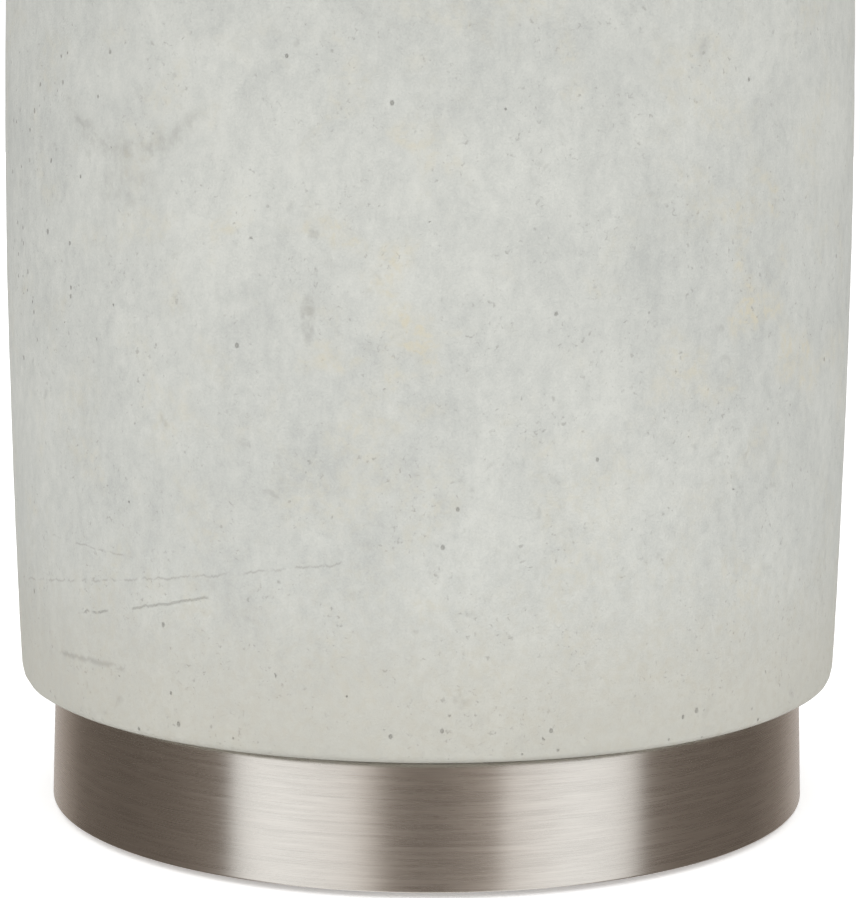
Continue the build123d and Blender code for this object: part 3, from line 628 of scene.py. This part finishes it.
def base_pan():
    """The drawn and brushed nickel cup."""
    radius, low, high = measured("base_pan")
    taper = 0.8 * MM
    wall = 1.2 * MM
    hole = 5.2 * MM
    corners = [
        (radius - wall, low, 0.3 * MM),
        (radius, low, 0.35 * MM),
        (radius - taper, high, 1.1 * MM),
        (hole, high),
        (hole, high - wall),
        (radius - taper - wall, high - wall, 0.6 * MM),
    ]
    piece = turned("base_pan_brushed", corners, "lamp", "brushed_nickel", brushed_nickel, 320, steps=8)
    cut_bushing_hole(piece, radius)
    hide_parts("base_pan")


felt_pad()
base_pan()

# ---------------------------------------------------------------- concrete body

BODY_WIDEST_HEIGHT = 0.105
BODY_SIDE_ARC = 2.0
BODY_LOWER_ROUND = 5.8 * MM
BODY_UPPER_ROUND = 8 * MM


def side_radius(height):
    widest = measured("concrete_body")[0]
    return widest - (height - BODY_WIDEST_HEIGHT) ** 2 / (2 * BODY_SIDE_ARC)


def concrete_outline(low, high):
    """The barrel's outer side, top and bottom, its cavity and the rod's holes, as in the CAD."""
    hole = 6 * MM
    cavity = 66 * MM
    slab = 14 * MM
    foot = Vector((side_radius(low), low))
    shoulder = Vector((side_radius(high), high))
    side_start = low + BODY_LOWER_ROUND
    side_end = high - BODY_UPPER_ROUND
    above = Vector((side_radius(side_start), side_start))
    below = Vector((side_radius(side_end), side_end))
    lower = arc_between(Vector((0, low)), foot, above, BODY_LOWER_ROUND, 14)
    upper = arc_between(below, shoulder, Vector((0, high)), BODY_UPPER_ROUND, 10)
    rows = 170
    heights = [side_start + (side_end - side_start) * i / rows for i in range(1, rows)]
    side = [(side_radius(z), z) for z in heights]
    bottom = subdivided((hole, low), (lower[0].x, low), 12)
    top = subdivided((upper[-1].x, high), (hole, high), 12)
    inside = rounded(
        [
            (hole, high),
            (hole, high - slab),
            (cavity, high - slab, 8 * MM),
            (cavity, low + slab, 8 * MM),
            (hole, low + slab),
        ]
    )
    outer = [(p.x, p.y) for p in lower] + side + [(p.x, p.y) for p in upper]
    return bottom + outer + top[1:] + inside


def concrete_surface(angle, radius, height):
    """Slow unevenness of the casting, fine roughness, and the thin flash left along its lower edge."""
    low, high = measured("concrete_body")[1:]
    if radius < 67 * MM or height > high - 1 * MM:
        return 0
    place = Vector((radius * math.sin(angle), -radius * math.cos(angle), height))
    slow = 0.14 * MM * noise.noise(place * 22)
    fine = 0.05 * MM * noise.noise(place * 160)
    rise = (height - low) / MM
    lip = 0.28 * MM * math.exp(-(((rise - 1.0) / 0.55) ** 2)) * (0.6 + 0.8 * noise.noise(place * 90))
    broken = max(0.0, 0.5 + noise.noise(place * 120))
    groove = -0.16 * MM * math.exp(-(((rise - 2.3) / 0.5) ** 2)) * broken
    return slow + fine + lip + groove


def concrete_body():
    low, high = measured("concrete_body")[1:]
    outline = concrete_outline(low, high)
    mesh = turned_mesh("concrete_body_cast", outline, 420, concrete_surface)
    piece = finished("concrete_body_cast", mesh, "lamp", "concrete", concrete)
    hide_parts("concrete_body")


concrete_body()

# ---------------------------------------------------------------- neck, harp, switch and finial


def threaded(pitch, depth, low, high):
    """A change of radius that makes a rounded right-handed thread between two heights."""

    def offset(angle, radius, height):
        inside = min(height - low, high - height)
        if inside < 0:
            return 0
        return depth * min(1, inside / pitch) * math.sin(FULL_TURN * height / pitch - angle)

    return offset


def harp_wire():
    """The bent wire, on the same route as the CAD's, with a smoother surface."""
    low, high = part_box("harp_wire")
    wire = 1.8 * MM
    side = high.x - wire
    foot, top = low.z, high.z - wire
    leg = 30.65 * MM
    leg_bend, side_bend = 318 * MM, 358 * MM
    right = [(leg, 0, foot), (leg, 0, leg_bend), (side, 0, side_bend), (side, 0, top)]
    left = [(-x, y, z) for x, y, z in reversed(right)]
    path = rounded_path(right + left, [20 * MM, 20 * MM, 45 * MM, 45 * MM, 20 * MM, 20 * MM], 28)
    mesh = wire_mesh("harp_wire_bent", path, wire, 28, end_rounding=0.3 * MM)
    piece = finished("harp_wire_bent", mesh, "harp", "nickel", nickel)
    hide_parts("harp_wire")


def finial():
    """The turned knob, with a bead at its neck and a fine groove round its head."""
    low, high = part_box("finial")
    foot, neck, head = 7.5 * MM, 5.2 * MM, (high.x - low.x) / 2
    z, top = low.z, high.z
    bore = 3.15 * MM
    corners = [
        (bore, z, 0.2 * MM),
        (foot, z, 0.4 * MM),
        (foot, z + 2 * MM, 0.7 * MM),
        (neck, z + 2.3 * MM, 0.5 * MM),
        (neck, z + 4.7 * MM, 0.5 * MM),
        (head, z + 5 * MM, 2 * MM),
        (head, z + 9.2 * MM, 0.15 * MM),
        (head - 0.35 * MM, z + 9.4 * MM, 0.1 * MM),
        (head - 0.35 * MM, z + 9.8 * MM, 0.1 * MM),
        (head, z + 10 * MM, 0.15 * MM),
        (head, top, 2 * MM),
        (0, top),
        (0, z + 10.5 * MM),
        (bore, z + 10.5 * MM),
    ]
    piece = turned("finial_turned", corners, "finial", "brushed_nickel", brushed_nickel, 160)
    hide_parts("finial")


def neck_pieces():
    """The tube between the body's cap and the socket, and the cap that closes it."""
    radius, low, high = measured("neck_tube")
    wall = 1.5 * MM
    corners = [(radius - wall, low), (radius, low), (radius, high), (radius - wall, high)]
    tube = turned("neck_tube_brushed", corners, "lamp", "brushed_nickel", brushed_nickel, 160)
    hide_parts("neck_tube")
    radius, low, high = measured("neck_cap")
    edge = 0.8 * MM
    corners = [(5.2 * MM, low), (radius, low, edge), (radius, high, edge), (5.2 * MM, high)]
    cap = turned("neck_cap_brushed", corners, "lamp", "brushed_nickel", brushed_nickel, 160)
    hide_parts("neck_cap")


def body_cap():
    """The spun cap on the concrete: a thin rim, and a flare that runs up to the neck."""
    radius, low, high = measured("body_cap")
    wall = 1.2 * MM
    neck = 16 * MM
    rim = 1.5 * MM
    rows = 24
    flare = []
    for i in range(rows + 1):
        share = i / rows
        sag = 1.8 * MM * math.sin(math.pi * share)
        reach = radius + (neck - radius) * share - 0.34 * sag
        flare.append((reach, low + rim + (high - low - rim) * share - 0.94 * sag))
    under = [(r - 0.35 * wall, z - 0.94 * wall) for r, z in reversed(flare[1:-1])]
    outline = [(radius - wall, low), (radius - 0.15 * MM, low), (radius, low + 0.2 * MM)] + flare
    outline += [(5.2 * MM, high), (5.2 * MM, high - wall), (neck - wall, high - wall)] + under
    outline.append((radius - wall, low + rim / 2))
    mesh = turned_mesh("body_cap_spun", outline, 224)
    piece = finished("body_cap_spun", mesh, "lamp", "brushed_nickel", brushed_nickel)
    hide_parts("body_cap")


neck_pieces()
body_cap()
harp_wire()
finial()

# ---------------------------------------------------------------- bulb and its shell

E26_PITCH = 25.4 * MM / 7


def screw_shell():
    """The brass shell with its rolled thread."""
    radius, low, high = measured("screw_shell")
    wall = 0.4 * MM
    outside = subdivided((radius, low), (radius, high), 60)
    inside = subdivided((radius - wall, high), (radius - wall, low), 60)
    outline = outside + inside + [(radius - wall, low)]
    shape = threaded(E26_PITCH, 0.35 * MM, low, high)
    mesh = turned_mesh("screw_shell_rolled", outline, 128, shape)
    piece = finished("screw_shell_rolled", mesh, "lamp", "brass", brass)
    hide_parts("screw_shell")


def bulb_cap():
    """The bulb's screw cap: a thin cup with a rolled thread and a plain collar above it."""
    radius, low, high = measured("bulb_cap")
    wall = 0.4 * MM
    bevel = low + 2 * MM
    outline = [(0, low), (10.8 * MM, low)] + subdivided((radius, bevel), (radius, high), 96)
    outline += [(radius, high), (radius - wall, high)]
    outline += subdivided((radius - wall, high - 0.1 * MM), (radius - wall, bevel), 60) + [(0, bevel)]
    shape = threaded(E26_PITCH, 0.33 * MM, bevel - 1 * MM, high - 3 * MM)
    mesh = turned_mesh("bulb_cap_rolled", outline, 128, shape)
    piece = finished("bulb_cap_rolled", mesh, "bulb", "cap_metal", cap_metal)
    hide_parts("bulb_cap")


screw_shell()
bulb_cap()

# ---------------------------------------------------------------- shade

SHADE_TAPER = 13 / 254
CLOTH_GAP = 0.02 * MM
CLOTH_THICKNESS = 0.6 * MM
CLOTH_UV_RADIUS = 0.1715
TAPE_THICKNESS = 0.4 * MM
SEAM_HALF_ANGLE = 0.037
SEAM_CLIMB_ANGLE = 0.03
SEAM_DROP_ANGLE = 0.012
SHADE_STEPS = 360


def shade_line(height):
    """The outer radius of the shade's liner at a height."""
    radius, low = measured("shade_liner")[:2]
    return radius - (height - low) * SHADE_TAPER


def eased(share):
    share = min(1.0, max(0.0, share))
    return share * share * (3 - 2 * share)


def climb(turn):
    """How far the cloth has climbed over its own first edge, as a share of its thickness."""
    return eased((turn - (math.pi - SEAM_HALF_ANGLE - SEAM_CLIMB_ANGLE)) / SEAM_CLIMB_ANGLE)


def seam_bump(angle):
    """How far the tape rises over the lapped seam at the back, from 0 to 1."""
    if angle > 0:
        return eased((SEAM_HALF_ANGLE + SEAM_CLIMB_ANGLE - (math.pi - angle)) / SEAM_CLIMB_ANGLE)
    return eased((SEAM_HALF_ANGLE + SEAM_DROP_ANGLE - (math.pi + angle)) / SEAM_DROP_ANGLE)


def shade_liner():
    """The thin styrene cone inside the linen, seen through the shade's ends."""
    low, high = measured("shade_liner")[1:]
    wall = 0.8 * MM
    top = (shade_line(high), high)
    outline = subdivided((shade_line(low), low), top, 8) + [top]
    outline += [(r - wall, z) for r, z in reversed(outline)]
    mesh = turned_mesh("shade_liner_rolled", outline, SHADE_STEPS)
    piece = finished("shade_liner_rolled", mesh, "shade", "liner", styrene)
    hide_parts("shade_liner")


def shade_cloth():
    """Linen stretched round the liner, lapped over itself in an upright seam at the back."""
    low, high = measured("shade_liner")[1:]
    low, high = low + 0.1 * MM, high - 0.1 * MM
    rows = 40
    first, whole = -math.pi - SEAM_HALF_ANGLE, FULL_TURN + 2 * SEAM_HALF_ANGLE
    turns = [first + whole * i / SHADE_STEPS for i in range(SHADE_STEPS + 1)]
    form = bmesh.new()
    uv = form.loops.layers.uv.new("UVMap")
    sides = []
    for outward in (CLOTH_GAP + CLOTH_THICKNESS, CLOTH_GAP):
        grid = []
        for turn in turns:
            column = []
            for row in range(rows + 1):
                height = low + (high - low) * row / rows
                reach = shade_line(height) + outward + climb(turn) * (CLOTH_THICKNESS + CLOTH_GAP)
                place = Vector((14 * math.sin(turn), 14 * math.cos(turn), 60 * height))
                reach += 0.03 * MM * noise.noise(place)
                column.append(form.verts.new((reach * math.sin(turn), -reach * math.cos(turn), height)))
            grid.append(column)
        sides.append(grid)

    def face(corners, spots):
        made = form.faces.new(corners)
        for loop, (i, j) in zip(made.loops, spots):
            height = low + (high - low) * j / rows
            loop[uv].uv = (turns[i] * CLOTH_UV_RADIUS, height)

    outer, inner = sides
    for i in range(SHADE_STEPS):
        for j in range(rows):
            spots = ((i, j), (i + 1, j), (i + 1, j + 1), (i, j + 1))
            face([outer[a][b] for a, b in spots], spots)
            back = tuple(reversed(spots))
            face([inner[a][b] for a, b in back], back)
        for j in (0, rows):
            rim = [outer[i][j], outer[i + 1][j], inner[i + 1][j], inner[i][j]]
            order = ((i, j), (i + 1, j), (i + 1, j), (i, j))
            face(rim[::-1] if j == 0 else rim, order[::-1] if j == 0 else order)
    for i in (0, SHADE_STEPS):
        for j in range(rows):
            rim = [outer[i][j], outer[i][j + 1], inner[i][j + 1], inner[i][j]]
            order = ((i, j), (i, j + 1), (i, j + 1), (i, j))
            face(rim[::-1] if i else rim, order[::-1] if i else order)
    bmesh.ops.recalc_face_normals(form, faces=form.faces)
    mesh = bpy.data.meshes.new("shade_linen")
    form.to_mesh(mesh)
    form.free()
    piece = finished("shade_linen", mesh, "shade", "linen", linen)
    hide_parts("shade_fabric")


def strip_outline(path, thickness):
    """A closed outline of a strip that follows a path of (radius, height) points."""
    points = [Vector(p) for p in path]
    one, other = [], []
    for i, point in enumerate(points):
        along = (points[min(i + 1, len(points) - 1)] - points[max(i - 1, 0)]).normalized()
        across = Vector((along.y, -along.x)) * thickness / 2
        one.append(point + across)
        other.append(point - across)
    return [(p.x, p.y) for p in one + other[::-1]]


def edge_tape(name, replaced, ring, edge, inward):
    """A linen tape folded over one edge of the shade and tucked round its wire ring."""
    wire = 1.6 * MM
    hug = wire + 0.15 * MM + TAPE_THICKNESS / 2
    ring_low, ring_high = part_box(ring)
    centre = Vector(((ring_high.x - ring_low.x) / 2 - wire, (ring_high.z + ring_low.z) / 2))
    outside = CLOTH_GAP + CLOTH_THICKNESS + TAPE_THICKNESS / 2 + 0.02 * MM
    start = edge + inward * 11 * MM
    over = edge - inward * TAPE_THICKNESS / 2
    heights = [start + (edge - start) * i / 8 for i in range(8)]
    path = [(shade_line(height) + outside, height) for height in heights]
    corner = Vector((shade_line(edge) + outside, over))
    fold = arc_between(Vector(path[-1]), corner, Vector((centre.x, over)), 0.5 * MM, 4)
    path += [(p.x, p.y) for p in fold]
    path += [(centre.x + 0.6 * MM, over)]
    for i in range(15):
        turn = math.pi * (0.12 + 1.05 * i / 14)
        path.append((centre.x - hug * math.sin(turn), centre.y - inward * hug * math.cos(turn)))
    outline = strip_outline(path, TAPE_THICKNESS)
    if inward < 0:
        outline.reverse()

    def over_seam(angle, radius, height):
        outer_band = radius > shade_line(height) + CLOTH_GAP
        return (CLOTH_THICKNESS + CLOTH_GAP) * seam_bump(angle) if outer_band else 0

    mesh = turned_mesh(name, outline, SHADE_STEPS, over_seam)
    for loop, spot in zip(mesh.loops, mesh.uv_layers[0].data):
        place = mesh.vertices[loop.vertex_index].co
        spot.uv = (spot.uv.x, place.z + math.hypot(place.x, place.y))
    form = bmesh.new()
    form.from_mesh(mesh)
    bmesh.ops.recalc_face_normals(form, faces=form.faces)
    form.to_mesh(mesh)
    form.free()
    piece = finished(name, mesh, "shade", "linen_tape", linen_tape)
    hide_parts(replaced)


def wire_rings():
    for node_name in ("shade_top_ring", "shade_bottom_ring"):
        low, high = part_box(node_name)
        wire = (high.z - low.z) / 2
        radius = (high.x - low.x) / 2 - wire
        middle = (high.z + low.z) / 2
        turns = [FULL_TURN * i / 288 for i in range(288)]
        path = [Vector((radius * math.cos(t), radius * math.sin(t), middle)) for t in turns]
        mesh = wire_mesh(node_name + "_coated", path, wire, 16, closed=True)
        piece = finished(node_name + "_coated", mesh, "shade", "white_wire", white_enamel)
        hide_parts(node_name)


shade_liner()
shade_cloth()
shade_foot, shade_top = measured("shade_liner")[1:]
edge_tape("shade_top_binding", "shade_top_tape", "shade_top_ring", shade_top, -1)
edge_tape("shade_bottom_binding", "shade_bottom_tape", "shade_bottom_ring", shade_foot, 1)
wire_rings()

# ---------------------------------------------------------------- camera, light and floor

CAMERA_DISTANCE = 0.511
CAMERA_HEIGHT = 0.140
CAMERA_TILT_DOWN = 0.14176
CAMERA_ROLL = 0.0047
CAMERA_TURN_RIGHT = 0.00062
CAMERA_LENS = 106.7
SENSOR_WIDTH = 36
FLOOR_RADIUS = 4.0
FLOOR_DROP = 0.1 * MM
FLOOR_GLOW = 0.32
TENT_RADIUS = 1.6
TENT_HEIGHT = 3.5
TENT_WALL = 0.01
TENT_STRENGTH = 1.2

# The tent's brightness by degrees round from the front: two tall softboxes, with dark cloth between
# and beside them.
TENT_TONES = (
    (-180, 0.75),
    (-152, 0.5),
    (-138, 0.33),
    (-126, 0.17),
    (-100, 0.14),
    (-80, 0.17),
    (-65, 0.23),
    (-59, 0.26),
    (-57, 1.1),
    (-50, 1.2),
    (-40, 1.12),
    (-22, 0.94),
    (-17, 0.7),
    (-11, 0.27),
    (-4, 0.21),
    (4, 0.22),
    (14, 0.33),
    (20, 0.4),
    (23, 0.82),
    (30, 0.95),
    (42, 1.12),
    (55, 1.12),
    (62, 0.98),
    (66, 0.24),
    (80, 0.18),
    (112, 0.155),
    (130, 0.24),
    (147, 0.47),
    (180, 0.75),
)


def add_camera():
    data = bpy.data.cameras.new("camera")
    data.lens = CAMERA_LENS
    data.sensor_width = SENSOR_WIDTH
    data.clip_start = 0.01
    data.clip_end = 50
    camera = bpy.data.objects.new("camera", data)
    bpy.context.scene.collection.objects.link(camera)
    tilt = Matrix.Rotation(math.pi / 2 - CAMERA_TILT_DOWN, 4, "X")
    facing = Matrix.Rotation(-CAMERA_TURN_RIGHT, 4, "Z") @ tilt
    roll = Matrix.Rotation(CAMERA_ROLL, 4, "Z")
    camera.matrix_world = Matrix.Translation((0, -CAMERA_DISTANCE, CAMERA_HEIGHT)) @ facing @ roll
    bpy.context.scene.camera = camera


def add_floor():
    form = bmesh.new()
    bmesh.ops.create_circle(form, cap_ends=True, radius=FLOOR_RADIUS, segments=96)
    mesh = bpy.data.meshes.new("floor")
    form.to_mesh(mesh)
    form.free()
    floor = bpy.data.objects.new("floor", mesh)
    floor.location.z = -FLOOR_DROP
    bpy.context.scene.collection.objects.link(floor)
    glow = {"Emission_Color": (1, 1, 1), "Emission_Strength": FLOOR_GLOW}
    made = material("pale_floor", Roughness=0.9, Specular_IOR_Level=0.0, **glow)
    fleck = noise_of(made, coordinates(made), 30.0, 3.0)
    feed(made, "Base Color", mixed(made, fleck, (0.9, 0.9, 0.9), (0.93, 0.93, 0.93)))
    mesh.materials.append(made)
    floor.visible_glossy = False


def add_tent():
    """A light tent that only reflections see: softboxes in front, a pale wall behind, dark cloth."""
    outside = TENT_RADIUS + TENT_WALL
    outline = [
        (TENT_RADIUS, -TENT_HEIGHT),
        (TENT_RADIUS, TENT_HEIGHT),
        (outside, TENT_HEIGHT),
        (outside, -TENT_HEIGHT),
    ]
    mesh = turned_mesh("tent", outline, 180)
    tent = bpy.data.objects.new("tent", mesh)
    bpy.context.scene.collection.objects.link(tent)
    made = bpy.data.materials.new("tent_cloth")
    made.use_nodes = True
    tree = made.node_tree
    tree.nodes.clear()
    spot = node(made, "SeparateXYZ", {0: coordinates(made)})
    forward = product(made, spot.outputs[1], -1.0)
    angle = math_node(made, "ARCTAN2", spot.outputs[0], forward)
    share = math_node(made, "MULTIPLY_ADD", angle, 1 / FULL_TURN, 0.5)
    ramp = node(made, "ValToRGB", {0: share})
    stops = ramp.color_ramp.elements
    while len(stops) < len(TENT_TONES):
        stops.new(0.5)
    for stop, (degrees_round, tone) in zip(stops, TENT_TONES):
        pale = min(1, max(0, tone - 0.15) / 0.95)
        stop.position = 0.5 + degrees_round / 360
        level = tone / TENT_STRENGTH
        stop.color = (level, level * (0.83 + 0.18 * pale), level * (0.71 + 0.31 * pale), 1)
    glow = node(made, "Emission", {"Color": ramp.outputs[0], "Strength": TENT_STRENGTH})
    output = node(made, "OutputMaterial")
    tree.links.new(glow.outputs[0], output.inputs[0])
    mesh.materials.append(made)
    tent.visible_camera = False
    tent.visible_diffuse = False
    tent.visible_shadow = False
    tent.visible_transmission = False


def add_world():
    """Soft white light from all round, brighter from the front."""
    world = bpy.data.worlds.new("studio")
    bpy.context.scene.world = world
    world.use_nodes = True
    tree = world.node_tree
    tree.nodes.clear()
    spot = tree.nodes.new("ShaderNodeTexCoord")
    parts = tree.nodes.new("ShaderNodeSeparateXYZ")
    front = tree.nodes.new("ShaderNodeMapRange")
    background = tree.nodes.new("ShaderNodeBackground")
    output = tree.nodes.new("ShaderNodeOutputWorld")
    front.inputs["From Min"].default_value = 0.0
    front.inputs["From Max"].default_value = -1.0
    front.inputs["To Min"].default_value = 1.02
    front.inputs["To Max"].default_value = 2.2
    tree.links.new(spot.outputs["Generated"], parts.inputs[0])
    tree.links.new(parts.outputs[1], front.inputs["Value"])
    tree.links.new(front.outputs[0], background.inputs["Strength"])
    background.inputs["Color"].default_value = (1, 1, 1, 1)
    tree.links.new(background.outputs[0], output.inputs[0])


add_camera()
add_floor()
add_tent()
add_world()
bpy.context.scene.view_settings.view_transform = "Standard"
